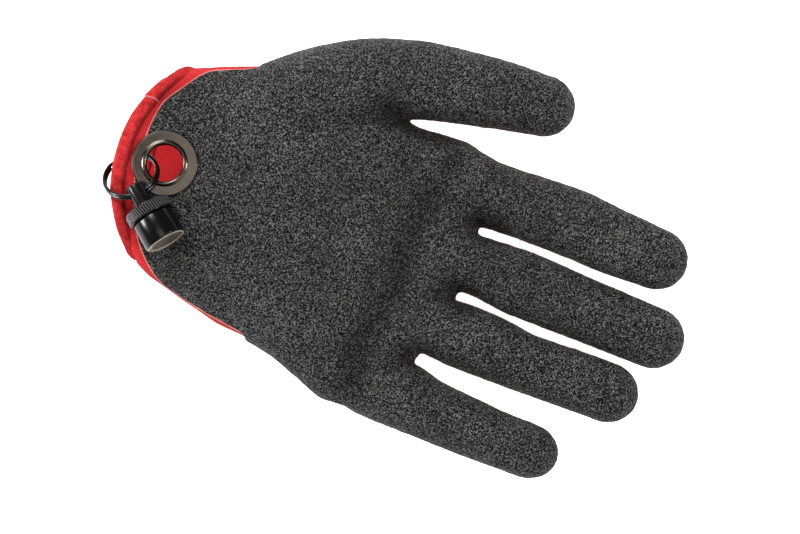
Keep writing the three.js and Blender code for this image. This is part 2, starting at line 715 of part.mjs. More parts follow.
const clip = new THREE.Group();
const clipFrame = clipTurn(restingTilt([coating, liner]));
clip.position.copy(hangPoint);
clip.quaternion.setFromRotationMatrix(clipFrame);
const holeDirection = chord.clone().applyMatrix4(clipFrame.clone().invert());
clip.add(piece('clip_stem', makeStem(holeDirection), satinBlack));
clip.add(piece('knurled_collar', makeCollar(), collarBlack));
clip.add(piece('magnet_cup', makeCup(), cupBlack));
clip.add(piece('magnet_disc', makeMagnet(), magnetFace));
glove.add(clip);

// The origin lies on the floor under the middle of the glove
const reach = new THREE.Box3().setFromObject(glove);
glove.position.set(-(reach.min.x + reach.max.x) / 2, -(reach.min.y + reach.max.y) / 2, 0);

export default glove;
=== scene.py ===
import json
import math

import bmesh
import bpy
import numpy as np
from mathutils import Matrix, Vector, noise


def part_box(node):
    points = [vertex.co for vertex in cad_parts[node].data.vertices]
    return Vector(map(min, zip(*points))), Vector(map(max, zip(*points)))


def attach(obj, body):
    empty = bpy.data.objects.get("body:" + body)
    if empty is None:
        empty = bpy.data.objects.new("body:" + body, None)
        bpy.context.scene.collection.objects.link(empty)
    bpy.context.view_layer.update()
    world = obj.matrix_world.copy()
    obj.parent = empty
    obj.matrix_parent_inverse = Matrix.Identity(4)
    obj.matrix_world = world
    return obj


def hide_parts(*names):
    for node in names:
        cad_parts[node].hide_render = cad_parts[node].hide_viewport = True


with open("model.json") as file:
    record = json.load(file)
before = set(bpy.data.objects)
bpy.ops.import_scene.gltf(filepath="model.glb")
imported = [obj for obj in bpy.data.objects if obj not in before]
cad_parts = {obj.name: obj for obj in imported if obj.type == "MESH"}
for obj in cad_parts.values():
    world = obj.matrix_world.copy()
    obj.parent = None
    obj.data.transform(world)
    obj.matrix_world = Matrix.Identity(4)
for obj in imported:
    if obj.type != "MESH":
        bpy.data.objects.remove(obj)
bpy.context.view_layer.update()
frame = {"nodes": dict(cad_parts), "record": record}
mm = 0.001
print("frame: loaded,", len(frame["nodes"]), "nodes")

# The hand. Places along it are shares of its length, places across it are shares of its width.
hand = {
    "length": 218.5, "width": 105.0, "depth": 33.0, "digitDepth": 20.0, "tip": 11.5,
    "settle": 2.5, "digitLift": 0.8,
    "knit": 1.1, "latex": 0.8, "gap": 0.3,
    "latexSetback": 11.2, "dipTilt": 0.05, "dipRound": 5.0,
    "cuffSweep": 14.0, "backSweep": 9.0, "cuffCurve": 2.2,
    "webStart": 0.455, "noseFloor": 0.21, "noseLength": 0.06,
    "palmColumns": 144, "palmRows": 90, "digitColumns": 72, "digitRows": 40, "digitPower": 2.3,
    "ahead": 8.0,  # how far the lofts run past the cuff before they are trimmed
}

# at, low, high, top, power, lead
palmSections = [
    (0.0755, -0.222, 0.468, 1.000, 3.8, 1.00),
    (0.1150, -0.274, 0.496, 1.000, 3.7, 0.84),
    (0.1430, -0.295, 0.517, 1.000, 3.5, 0.66),
    (0.1760, -0.321, 0.538, 1.005, 3.3, 0.45),
    (0.2100, -0.344, 0.558, 1.030, 3.1, 0.26),
    (0.2450, -0.368, 0.572, 1.070, 2.9, 0.10),
    (0.2860, -0.381, 0.578, 1.110, 2.8, 0),
    (0.3410, -0.411, 0.570, 1.100, 2.7, 0),
    (0.3960, -0.462, 0.543, 1.040, 2.7, 0),
    (0.4500, -0.508, 0.501, 0.970, 2.7, 0),
    (0.5050, -0.511, 0.481, 0.850, 2.7, 0),
    (0.5750, -0.478, 0.444, 0.750, 2.6, 0),
    (0.6030, -0.440, 0.410, 0.620, 2.4, 0),
    (0.6200, -0.390, 0.360, 0.430, 2.2, 0),
]

# across, how far the web lies back from the furthest one
webLine = [
    (-0.55, 0.070), (-0.40, 0.058), (-0.286, 0.041), (-0.16, 0.016),
    (-0.03, 0.005), (0.20, 0), (0.33, 0.006), (0.50, 0.040),
]

# at, low, high, bottom, top, the last two as shares of a digit's depth
digitSections = {
    "index": [
        (0.436, 0.260, 0.435, 0.15, 1.20), (0.478, 0.242, 0.490, 0.00, 1.22),
        (0.551, 0.215, 0.488, 0.00, 1.30), (0.592, 0.213, 0.465, 0.00, 1.30),
        (0.629, 0.216, 0.449, 0.00, 1.22), (0.767, 0.197, 0.437, 0.06, 1.14),
        (0.835, 0.180, 0.413, 0.13, 1.16), (0.917, 0.171, 0.384, 0.24, 1.18),
    ],
    "middle": [
        (0.450, -0.005, 0.210, 0.15, 1.20), (0.515, -0.022, 0.200, 0.00, 1.25),
        (0.592, -0.020, 0.188, 0.00, 1.32), (0.629, -0.020, 0.187, 0.00, 1.24),
        (0.698, -0.047, 0.183, 0.02, 1.16), (0.835, -0.073, 0.147, 0.13, 1.16),
        (0.904, -0.087, 0.130, 0.22, 1.18), (0.947, -0.095, 0.118, 0.28, 1.20),
    ],
    "ring": [
        (0.430, -0.262, -0.040, 0.15, 1.20), (0.490, -0.268, -0.050, 0.00, 1.25),
        (0.575, -0.260, -0.053, 0.00, 1.28), (0.629, -0.277, -0.052, 0.00, 1.20),
        (0.698, -0.290, -0.067, 0.02, 1.14), (0.767, -0.300, -0.095, 0.07, 1.12),
        (0.835, -0.309, -0.101, 0.15, 1.13), (0.899, -0.319, -0.110, 0.24, 1.14),
    ],
    "little": [
        (0.415, -0.435, -0.290, 0.20, 1.10), (0.460, -0.489, -0.292, 0.05, 1.15),
        (0.506, -0.524, -0.296, 0.00, 1.20), (0.584, -0.543, -0.306, 0.02, 1.15),
        (0.629, -0.552, -0.338, 0.06, 1.10), (0.698, -0.567, -0.362, 0.12, 1.08),
        (0.757, -0.575, -0.381, 0.20, 1.10), (0.798, -0.581, -0.389, 0.25, 1.12),
    ],
    "thumb": [
        (0.130, 0.240, 0.430, 0.30, 1.35), (0.231, 0.276, 0.598, 0.10, 1.76),
        (0.286, 0.324, 0.667, 0.05, 1.86), (0.355, 0.385, 0.732, 0.10, 1.88),
        (0.414, 0.447, 0.763, 0.25, 1.82), (0.458, 0.503, 0.779, 0.35, 1.72),
        (0.584, 0.548, 0.790, 0.42, 1.57), (0.665, 0.570, 0.781, 0.42, 1.52),
    ],
}

# at, across, reach, rise: swells and hollows of the palm side
palmRelief = [
    (0.175, -0.165, 0.100, 0.060),  # heel, under the clip's cup
    (0.096, -0.052, 0.055, -0.150),  # pressed in by the clip's collar
    (0.300, -0.200, 0.120, 0.050),
    (0.400, 0.080, 0.130, -0.080),
]

# across, back: the edge of the latex from above. at, height: the same edge from the side.
dipLine = [
    (-0.700, 0.300), (-0.368, 0.243), (-0.320, 0.158), (-0.272, 0.092), (-0.216, 0.060),
    (-0.127, 0.030), (0.035, 0.005), (0.133, 0.000), (0.229, 0.004), (0.309, 0.012),
    (0.395, 0.040), (0.463, 0.069), (0.532, 0.145), (0.700, 0.170),
]
dipHeights = [(0.00, 0.42), (0.18, 0.42), (0.28, 0.36), (0.42, 0.30), (0.60, 0.27), (1.10, 0.27)]

# how far along the round of a fingertip its rings stand
tipSteps = np.array([0.12, 0.25, 0.38, 0.5, 0.61, 0.71, 0.79, 0.86, 0.92, 0.96, 0.985, 0.997])

# The hand's own frame starts at the cuff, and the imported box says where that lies.
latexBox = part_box("palm_coating")
tipReach = digitSections["middle"][-1][0] * hand["length"] + hand["tip"]
thumbReach = max(row[2] for row in digitSections["thumb"]) * hand["width"]
handOrigin = np.array([latexBox[1].x - tipReach * mm, latexBox[1].y - thumbReach * mm, 0])

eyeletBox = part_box("eyelet")
eyeletCentre = (eyeletBox[0] + eyeletBox[1]) / 2
eyeletTop = eyeletBox[1].z


def curveThrough(rows, places):
    # every column of a table at the places, on a smooth curve that never overshoots its rows
    rows = np.array(rows, float)
    x, y = rows[:, 0], rows[:, 1:]
    slope = np.diff(y, axis=0) / np.diff(x)[:, None]
    together = slope[:-1] + slope[1:]
    same = slope[:-1] * slope[1:] > 0
    middle = np.where(same, 2 * slope[:-1] * slope[1:] / np.where(same, together, 1), 0)
    tangent = np.vstack([slope[:1], middle, slope[-1:]])
    i = np.clip(np.searchsorted(x, places) - 1, 0, len(x) - 2)
    h = np.diff(x)[i][:, None]
    t = np.clip((places - x[i])[:, None] / h, 0, 1)
    a, b, ta, tb = y[i], y[i + 1], tangent[i] * h, tangent[i + 1] * h
    return (2 * t**3 - 3 * t**2 + 1) * a + (t**3 - 2 * t**2 + t) * ta \
        + (3 * t**2 - 2 * t**3) * b + (t**3 - t**2) * tb


def ovalPoints(columns, power):
    # a squared oval, u across and v up, one row for each power
    angle = 2 * np.pi * np.arange(columns) / columns
    power = np.asarray(power, float)[:, None]
    u = np.sign(np.cos(angle)) * np.abs(np.cos(angle)) ** (2 / power)
    v = np.sign(np.sin(angle)) * np.abs(np.sin(angle)) ** (2 / power)
    return u, v


def reliefAt(x, y):
    rise = 0
    for at, across, reach, high in palmRelief:
        far = np.hypot(x - at * hand["length"], y - across * hand["width"])
        t = np.minimum(far / (reach * hand["length"]), 1)
        rise = rise + high * hand["depth"] * np.cos(t * np.pi / 2) ** 2
    return rise


def cuffShift(u, top):
    # the palm side of the cuff and its back run ahead of its sides
    reach = 1 - np.abs(u) ** hand["cuffCurve"]
    return np.where(top, -hand["cuffSweep"] * reach, -hand["backSweep"] * reach)


def palmRings(places, inset, along=0, columns=None):
    columns = columns or hand["palmColumns"]
    low, high, top, power, lead = curveThrough(palmSections, places).T[:, :, None]
    at = places[:, None]
    last = palmSections[-1][0]
    low, high = low * hand["width"] + inset, high * hand["width"] - inset
    nose = np.clip((at - last) / hand["noseLength"] + 1, 0, 1)
    bottom = hand["noseFloor"] * hand["depth"] * nose**2 - hand["settle"]
    bottom = np.maximum(bottom, -hand["settle"]) + inset
    top = top * hand["depth"] - inset
    u, v = ovalPoints(columns, power[:, 0])
    y = (low + high) / 2 + u * (high - low) / 2
    x = at * hand["length"] + lead * cuffShift(u, v > 0) + along
    web = np.maximum((at - hand["webStart"]) / (last - hand["webStart"]), 0)
    back = curveThrough(webLine, (y / hand["width"]).ravel()).reshape(y.shape)
    x = x - web * back * hand["length"] - web**2 * inset
    z = (bottom + top) / 2 + v * (top - bottom) / 2
    z = z + np.maximum(v, 0) * reliefAt(x, y)
    return np.stack([x, y, np.maximum(z, inset - hand["latex"] - hand["gap"])], axis=2)


def digitRings(rows, inset):
    first, last = rows[0][0], rows[-1][0]
    places = np.linspace(first, last, hand["digitRows"])
    low, high, bottom, top = curveThrough(rows, places).T[:, :, None]
    reach = hand["tip"] - inset
    x = np.concatenate([places * hand["length"], last * hand["length"] + tipSteps * reach])[:, None]
    grow = np.concatenate([np.ones(len(places)), np.sqrt(1 - tipSteps**2)])[:, None]
    low, high, bottom, top = [np.concatenate([column, np.repeat(column[-1:], len(tipSteps), axis=0)])
                              for column in (low, high, bottom, top)]
    low, high = low * hand["width"] + inset, high * hand["width"] - inset
    bottom = bottom * hand["digitDepth"] - hand["digitLift"] + inset
    top = top * hand["digitDepth"] - inset
    u, v = ovalPoints(hand["digitColumns"], np.full(len(x), hand["digitPower"]))
    y = (low + high) / 2 + grow * u * (high - low) / 2
    z = (bottom + top) / 2 + grow * v * (top - bottom) / 2
    x = np.broadcast_to(x, y.shape)
    return np.stack([x, y, np.maximum(z, inset - hand["latex"] - hand["gap"])], axis=2)


def loft(rings):
    # points and faces of a closed body from its rings
    count, columns = rings.shape[:2]
    points = np.vstack([rings.reshape(-1, 3), rings[0].mean(axis=0), rings[-1].mean(axis=0)])
    faces = []
    for r in range(count - 1):
        for c in range(columns):
            d = (c + 1) % columns
            faces.append((r * columns + c, (r + 1) * columns + c, (r + 1) * columns + d, r * columns + d))
    start, end = count * columns, count * columns + 1
    last = (count - 1) * columns
    for c in range(columns):
        d = (c + 1) % columns
        faces.append((start, c, d))
        faces.append((end, last + d, last + c))
    return points, faces


def gridFaces(rows, columns, closed):
    # quads between rings of points, and from the last ring to the first where it is closed
    faces = []
    for r in range(rows if closed else rows - 1):
        s = (r + 1) % rows
        for c in range(columns):
            d = (c + 1) % columns
            faces.append((r * columns + c, r * columns + d, s * columns + d, s * columns + c))
    return faces


def toRow(points):
    # from the hand's frame in millimetres to the row frame in metres
    return np.asarray(points) * mm + handOrigin


def toHand(points):
    return (np.asarray(points) - handOrigin) / mm


def newPiece(name, points, faces, smooth=True):
    mesh = bpy.data.meshes.new(name)
    mesh.from_pydata([tuple(p) for p in points], [], [tuple(f) for f in faces])
    mesh.validate()
    piece = bpy.data.objects.new(name, mesh)
    bpy.context.scene.collection.objects.link(piece)
    mesh.polygons.foreach_set("use_smooth", [smooth] * len(mesh.polygons))
    return piece


def applied(piece):
    # the modifiers' result becomes the piece's own mesh
    graph = bpy.context.evaluated_depsgraph_get()
    mesh = bpy.data.meshes.new_from_object(piece.evaluated_get(graph), depsgraph=graph)
    piece.modifiers.clear()
    old = piece.data
    piece.data = mesh
    bpy.data.meshes.remove(old)
    mesh.name = piece.name
    mesh.polygons.foreach_set("use_smooth", [True] * len(mesh.polygons))
    return piece


def pointsOf(piece):
    flat = np.zeros(len(piece.data.vertices) * 3, np.float32)
    piece.data.vertices.foreach_get("co", flat)
    return flat.reshape(-1, 3).astype(float)


def normalsOf(piece):
    flat = np.zeros(len(piece.data.vertices) * 3, np.float32)
    piece.data.vertices.foreach_get("normal", flat)
    return flat.reshape(-1, 3).astype(float)


def movePoints(piece, points):
    piece.data.vertices.foreach_set("co", np.asarray(points, np.float32).ravel())
    piece.data.update()


def storeValues(piece, name, values):
    layer = piece.data.attributes.new(name, "FLOAT", "POINT")
    layer.data.foreach_set("value", np.asarray(values, np.float32))


def handBody(name, inset, voxel, rounds):
    # palm and digits as one skin: the lofts are joined, and smoothing turns the creases into fillets
    places = np.linspace(palmSections[0][0], palmSections[-1][0], hand["palmRows"])
    rings = palmRings(places, inset)
    rings = np.concatenate([palmRings(places[:1], inset, -hand["ahead"]), rings])
    points, faces = loft(rings)
    for rows in digitSections.values():
        more, sides = loft(digitRings(rows, inset))
        faces += [tuple(i + len(points) for i in f) for f in sides]
        points = np.vstack([points, more])
    piece = newPiece(name, toRow(points), faces)
    remesh = piece.modifiers.new("remesh", "REMESH")
    remesh.mode = "VOXEL"
    remesh.voxel_size = voxel * mm
    ease = piece.modifiers.new("ease", "SMOOTH")
    ease.factor = 0.5
    ease.iterations = rounds
    return applied(piece)


def dipDistance(points):
    # millimetres from the edge of the latex, positive on the latex
    x, y, z = toHand(points).T
    across = y / hand["width"]
    step = 0.002  # share of the width that the slope is taken over
    back = curveThrough(dipLine, across)[:, 0] * hand["length"]
    further = curveThrough(dipLine, across + step)[:, 0] * hand["length"]
    lean = (further - back) / (step * hand["width"])
    fromCuff = (x - hand["latexSetback"] - back) / np.sqrt(1 + lean**2)
    height = curveThrough(dipHeights, x / hand["length"])[:, 0] * hand["depth"]
    fromFloor = z - height - hand["dipTilt"] * y
    blend = np.clip(0.5 + 0.5 * (fromFloor - fromCuff) / hand["dipRound"], 0, 1)
    return fromFloor + (fromCuff - fromFloor) * blend - hand["dipRound"] * blend * (1 - blend)


def cuffDistance(points):
    # millimetres in from the edge of the cuff
    x, y, z = toHand(points).T
    first = palmSections[0]
    middle = (first[1] + first[2]) / 2 * hand["width"]
    half = (first[2] - first[1]) / 2 * hand["width"]
    u = np.clip((y - middle) / half, -1, 1)
    return x - first[0] * hand["length"] - cuffShift(u, z > hand["depth"] / 2)


def eyeletDistance(points):
    # millimetres from the eyelet's axis on the palm side, and far off elsewhere
    far = np.hypot(points[:, 0] - eyeletCentre.x, points[:, 1] - eyeletCentre.y) / mm
    return np.where(points[:, 2] > eyeletTop / 2, far, hand["length"])


def trimmed(piece, measure):
    # keeps the faces where the measure is positive and draws their border onto its zero line
    rounds, nudge, reach, leastSlope = 3, 0.05, 3, 0.25
    mesh = bmesh.new()
    mesh.from_mesh(piece.data)
    centres = np.array([f.calc_center_median() for f in mesh.faces])
    away = [f for f, m in zip(mesh.faces, measure(centres)) if m < 0]
    bmesh.ops.delete(mesh, geom=away, context="FACES")
    edge = [v for v in mesh.verts if v.is_boundary]
    for _ in range(rounds):
        points = np.array([v.co for v in edge])
        normals = np.array([v.normal for v in edge])
        value = measure(points)
        steps = np.eye(3) * nudge * mm
        change = np.stack([measure(points + step) - value for step in steps], axis=1) / nudge
        change -= normals * (change * normals).sum(axis=1)[:, None]
        size = np.maximum((change**2).sum(axis=1), leastSlope)
        move = np.clip(value, -1, 1)[:, None] * change / size[:, None] * mm
        for v, m, off in zip(edge, move, np.abs(value)):
            if off < reach:
                v.co -= Vector(m)
    mesh.to_mesh(piece.data)
    mesh.free()
    return piece


def noiseAt(points, size, seed=0.0):
    # smooth random values from -1 to 1 whose lumps are about size millimetres apart
    shift = Vector((seed, seed * 1.7, seed * 0.3))
    return np.array([noise.noise(Vector(p) / (size * mm) + shift) for p in points])


# Folds and hollows that the latex and the knit share; the latex's colour is also darkened along them as
# painted shade
shape = {"sway": 0.35, "swaySize": 24.0}
# x1, y1, x2, y2, width, depth, all in the hand's millimetres
creases = [
    (120, 42, 115, 23, 7.0, 1.2), (115, 23, 112.5, 8, 7.0, 1.2), (112.5, 8, 112.5, -8, 7.0, 1.2),
    (112.5, -8, 105.5, -30, 7.0, 1.2), (105.5, -30, 107.5, -43, 7.0, 1.1),  # across the palm
    (92, 54, 100, 50, 6.0, 1.4), (100, 50, 117, 49.5, 6.0, 1.4),  # crotch of the thumb
    (136, 23.5, 141, 22.5, 7.0, 1.5), (133, -3.8, 138, -5, 7.0, 1.5),  # webs
    (124, -30, 129, -31, 7.0, 1.3),
    (154, 37, 160, 21, 4.5, 0.6), (157.5, 15.6, 160.5, 2.4, 4.5, 0.6),  # joints
]


def segmentDistance(x, y, x1, y1, x2, y2):
    dx, dy = x2 - x1, y2 - y1
    t = np.clip(((x - x1) * dx + (y - y1) * dy) / (dx * dx + dy * dy), 0, 1)
    return np.hypot(x - x1 - t * dx, y - y1 - t * dy)


def creaseDepth(points):
    # how deep the nearest crease is at each point, in millimetres
    x, y, _ = toHand(points).T
    depth = np.zeros(len(points))
    for x1, y1, x2, y2, wide, deep in creases:
        far = segmentDistance(x, y, x1, y1, x2, y2)
        depth = np.maximum(depth, deep * np.exp(-2 * (far / wide) ** 2))
    return depth


def shapePush(points, normals):
    # how far each point goes out along its normal, in millimetres
    sway = shape["sway"] * noiseAt(points, shape["swaySize"], 3.0) * np.clip(normals[:, 2] * 2, 0, 1)
    return sway - creaseDepth(points) * np.clip(normals[:, 2], 0, 1)


# Latex skin
latex = {
    "voxel": 0.66, "rounds": 9,
    "seat": 1.25, "seatInner": 11.4, "seatOuter": 17.0,  # pressed flat, this far below the eyelet's top
    "hole": 9.0,
    "lump": 0.16, "lumpSize": 3.6, "grain": 0.13, "grainSize": 1.5,
    "rim": 0.75,
}


def makeLatex():
    piece = handBody("palm_latex", 0, latex["voxel"], latex["rounds"])
    trimmed(piece, dipDistance)
    trimmed(piece, lambda p: eyeletDistance(p) - latex["hole"])
    points, normals = pointsOf(piece), normalsOf(piece)
    push = shapePush(points, normals)
    push = push + latex["lump"] * noiseAt(points, latex["lumpSize"], 5.0)
    push = push + latex["grain"] * noiseAt(points, latex["grainSize"], 9.0)
    far = eyeletDistance(points)
    seat = np.clip((latex["seatOuter"] - far) / (latex["seatOuter"] - latex["seatInner"]), 0, 1)
    seat = seat * seat * (3 - 2 * seat)
    push = push * (1 - seat)
    points = points + normals * push[:, None] * mm
    level = eyeletTop - latex["seat"] * mm
    points[:, 2] += (level - points[:, 2]) * seat * (far < latex["seatOuter"])
    movePoints(piece, points)
    turnRim(piece, latex["rim"])
    points = pointsOf(piece)
    # painted shade: the crease depth on the palm side, by which the latex's colour is darkened in its
    # creases
    onPalm = points[:, 2] > hand["depth"] / 3 * mm
    storeValues(piece, "fold", creaseDepth(points) * onPalm)
    return piece


def turnRim(piece, depth):
    # the skin's edge is rounded over and turned in to the knit
    mesh = bmesh.new()
    mesh.from_mesh(piece.data)
    mesh.normal_update()
    for share in (0.45, 0.55):
        edges = [e for e in mesh.edges if e.is_boundary]
        made = bmesh.ops.extrude_edge_only(mesh, edges=edges)["geom"]
        for v in [g for g in made if isinstance(g, bmesh.types.BMVert)]:
            v.co -= rimNormal(v) * share * depth * mm
    mesh.to_mesh(piece.data)
    mesh.free()
    piece.data.polygons.foreach_set("use_smooth", [True] * len(piece.data.polygons))


def rimNormal(vertex):
    # the normal of the skin beside a fresh rim point
    for edge in vertex.link_edges:
        other = edge.other_vert(vertex)
        if not other.is_boundary:
            return other.normal
    return vertex.normal


# Knitted liner
liner = {"voxel": 1.25, "rounds": 5, "hole": 7.2, "tuck": 3.4, "lift": 0.06}


def makeLiner():
    inset = hand["latex"] + hand["gap"]
    piece = handBody("knit_glove", inset, liner["voxel"], liner["rounds"])
    trimmed(piece, lambda p: cuffDistance(p) - liner["tuck"])
    trimmed(piece, lambda p: eyeletDistance(p) - liner["hole"])
    points, normals = pointsOf(piece), normalsOf(piece)
    storeValues(piece, "dip", -dipDistance(points))
    far = eyeletDistance(points)
    flat = np.clip((far - latex["seatInner"]) / (latex["seatOuter"] - latex["seatInner"]), 0, 1)
    points = points + normals * (shapePush(points, normals) * flat)[:, None] * mm
    points[:, 2] = np.maximum(points[:, 2], liner["lift"] * mm)  # the hem alone touches the table
    movePoints(piece, points)
    wall = piece.modifiers.new("wall", "SOLIDIFY")
    wall.thickness = hand["knit"] * mm
    wall.offset = -1
    wall.use_even_offset = False
    return applied(piece)


# Rolled hem of the cuff
hem = {
    "width": 5.4, "depth": 3.1, "shift": 0.3, "columns": 1200,
    "ribSize": 0.78, "rib": 0.10,
    "lapPlace": 0.71, "lapLength": 9.0, "lapRise": 0.7, "lapEdge": 0.9,
    "lump": 0.22, "lumpSize": 4.5,
}
# along, deep: the roll's section, as shares of its width and depth
hemProfile = [
    (0.00, 0.50), (0.02, 0.35), (0.08, 0.21), (0.18, 0.09), (0.30, 0.02), (0.44, 0.00),
    (0.58, 0.01), (0.70, 0.05), (0.80, 0.12), (0.89, 0.22), (0.96, 0.36), (1.00, 0.50),
    (0.98, 0.75), (0.92, 0.92), (0.78, 0.98), (0.60, 1.00), (0.35, 0.97), (0.12, 0.88), (0.03, 0.70),
]


def makeHem():
    columns = hem["columns"]
    first = np.array(palmSections[0][:1])
    u, v = [row[0] for row in ovalPoints(columns, [palmSections[0][4]])]
    half = (palmSections[0][2] - palmSections[0][1]) / 2 * hand["width"]
    lap = hem["lapLength"] / 2 - np.abs(u - hem["lapPlace"]) * half
    near = np.clip(lap / hem["lapEdge"], 0, 1)
    outline = palmRings(first, 0, 0, columns)[0]
    arc = np.concatenate([[0], np.cumsum(np.linalg.norm(np.diff(outline, axis=0), axis=1))])
    ribs = np.round(arc[-1] / hem["ribSize"])
    wave = np.cos(2 * np.pi * ribs * arc / arc[-1])
    loops = []
    for along, deep in hemProfile:
        inset = deep * hem["depth"] - hem["shift"]
        outer = deep < 0.5
        ring = palmRings(first, inset, along * hem["width"], columns)[0]
        step = hem["lapRise"] * near * (v > 0) * outer
        ring[:, 0] -= step / 2
        ring[:, 2] += step * v + hem["rib"] * wave * np.sign(v) * outer
        ring[:, 2] = np.maximum(ring[:, 2], 0)
        loops.append(ring)
    count = len(loops)
    piece = newPiece("hem_roll", toRow(np.vstack(loops)), gridFaces(count, columns, True))
    points, normals = pointsOf(piece), normalsOf(piece)
    lump = hem["lump"] * noiseAt(points, hem["lumpSize"], 2.0) * (normals[:, 2] > 0)
    movePoints(piece, points + normals * lump[:, None] * mm)
    storeValues(piece, "around", np.tile(arc, count))
    storeValues(piece, "lap", np.tile(np.where((v > 0) & (u < hem["lapPlace"]), lap, -1), count))
    storeValues(piece, "band", np.repeat([row[0] for row in hemProfile], columns))
    return piece


def turnedRing(angle, radius, height):
    return np.stack([radius * np.cos(angle), radius * np.sin(angle), np.full(len(angle), height)], axis=1)


def turned(name, profile, columns, frameMatrix, closed=True):
    # a body turned about its axis from (radius, height) rows in millimetres
    count = len(profile)
    angle = 2 * np.pi * np.arange(columns) / columns
    rings = [turnedRing(angle, radius, height) for radius, height in profile]
    faces = gridFaces(count, columns, closed)
    if not closed:
        faces.append(tuple(range(columns))[::-1])
        faces.append(tuple((count - 1) * columns + c for c in range(columns)))
    piece = newPiece(name, np.vstack(rings) * mm, faces)
    piece.data.transform(frameMatrix)
    return piece


def arcRows(centre, radius, start, end, steps):
    # an arc of a profile, in degrees
    angles = np.radians(np.linspace(start, end, steps))
    return [(centre[0] + radius * math.cos(a), centre[1] + radius * math.sin(a)) for a in angles]


# Eyelet: heights run up from its lowest point
eyelet = {
    "hole": 13.0, "barrelWall": 0.6, "lip": 0.85, "shoulder": 17.0, "shoulderRise": 0.4,
    "flange": 23.6, "flangeWall": 0.8, "flangeRound": 0.38, "roll": 0.4, "rollReach": 0.9, "columns": 128,
}


def makeEyelet():
    hole, flange, shoulder = eyelet["hole"] / 2, eyelet["flange"] / 2, eyelet["shoulder"] / 2
    lip, rise, edge, roll = eyelet["lip"], eyelet["shoulderRise"], eyelet["flangeRound"], eyelet["roll"]
    top = (eyeletBox[1].z - eyeletBox[0].z) / mm
    face = top - rise
    low = face - eyelet["flangeWall"]
    barrel = hole + eyelet["barrelWall"]
    rollEnd = barrel + eyelet["rollReach"]
    crest = hole + lip
    profile = [(hole, roll / 2), (hole, face - 0.2)]
    profile += arcRows((crest, top - lip), lip, 160, 100, 4)
    for share in np.linspace(0, 1, 12):
        wave = (1 + math.cos(math.pi * share)) / 2
        profile.append((crest + (shoulder - crest) * share, face + rise * wave))
    profile += [(flange - 1.2, face - 0.02), (flange - 0.55, face - 0.08)]
    profile += arcRows((flange - edge, low + edge), edge, 75, -80, 9)
    profile += [(flange - 1.2, low), (barrel, low), (barrel, roll), (rollEnd, roll)]
    profile += arcRows((rollEnd - roll / 2, roll / 2), roll / 2, 20, -90, 4)
    profile += [(hole + 0.4, 0), (hole + 0.1, 0.1)]
    place = Matrix.Translation((eyeletCentre.x, eyeletCentre.y, eyeletBox[0].z))
    return turned("eyelet_metal", profile, eyelet["columns"], place)


# Split ring
ring = {
    "diameter": 21.0, "wire": 1.35, "pitch": 1.48, "jogPlace": 250, "jogHalf": 20,
    "lean": 40, "bearing": 36, "steps": 300, "sides": 14,
}


def ringAxes():
    bearing, lean = math.radians(ring["bearing"]), math.radians(ring["lean"])
    chord = Vector((math.cos(bearing), math.sin(bearing), 0))
    side = Vector((math.sin(bearing), -math.cos(bearing), 0))
    front = side * math.cos(lean) + Vector((0, 0, math.sin(lean)))
    return chord, front, chord.cross(front)


def makeRing():
    # one wire wound twice, with a jog from coil to coil between its two ends
    radius, jog = (ring["diameter"] - ring["wire"]) / 2, math.radians(ring["jogHalf"])
    t = np.linspace(0, 1, ring["steps"])
    turn = jog * (1 - 2 * t) + 4 * np.pi * t
    side = np.clip((turn - 2 * np.pi) / jog, -1, 1)
    angle = turn + math.radians(ring["jogPlace"])
    out = np.stack([np.cos(angle), np.sin(angle), np.zeros_like(angle)], axis=1)
    line = out * radius + np.stack([0 * t, 0 * t, side * ring["pitch"] / 2], axis=1)
    around = 2 * np.pi * np.arange(ring["sides"]) / ring["sides"]
    wide, high = ring["wire"] / 2 * np.cos(around), ring["wire"] / 2 * np.sin(around)
    rings = line[:, None, :] + out[:, None, :] * wide[None, :, None]
    rings = rings + np.array([0, 0, 1.0])[None, None, :] * high[None, :, None]
    points, faces = loft(rings)
    chord, front, axis = ringAxes()
    low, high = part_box("split_ring")
    centre = (low + high) / 2
    turnTo = Matrix((chord, front, axis)).transposed().to_4x4()
    piece = newPiece("split_ring_wire", points * mm, [f[::-1] for f in faces])
    piece.data.transform(Matrix.Translation(centre) @ turnTo)
    return piece


# Magnetic clip, measured from the middle of its cross hole along its axis
clip = {
    "stem": 6.8, "stemLead": 3.7, "stemReach": 5.4, "stemHole": 4.1, "stemRound": 1.0, "neck": 0.25,
    "collar": 17.0, "collarLength": 4.5, "collarEdge": 0.45, "collarRows": 34,
    "teeth": 56, "knurl": 0.42, "knurlLean": 10, "knurlFade": 0.25,
    "cup": 15.3, "cupLength": 9.8, "cupWall": 1.1, "chamfer": 0.7, "gap": 0.3,
    "magnet": 2.4, "magnetInset": 0.25, "magnetEdge": 0.4, "columns": 128, "thinColumns": 96,
}


def faceReach():
    # from the cross hole to the magnet's face
    cupStart = clip["stemReach"] + clip["collarLength"] + clip["gap"]
    return cupStart + clip["cupLength"] - clip["magnetInset"]


def clipFrame():
    mount = next(m for m in frame["record"]["mounts"] if m["name"] == "magnet_face")
    axis = Vector(mount["axis"]).normalized()
    start = Vector(mount["pos_m"]) - axis * faceReach() * mm
    side = Vector((0, 0, 1)).cross(axis).normalized()
    turn = Matrix((side, axis.cross(side), axis)).transposed().to_4x4()
    return Matrix.Translation(start) @ turn


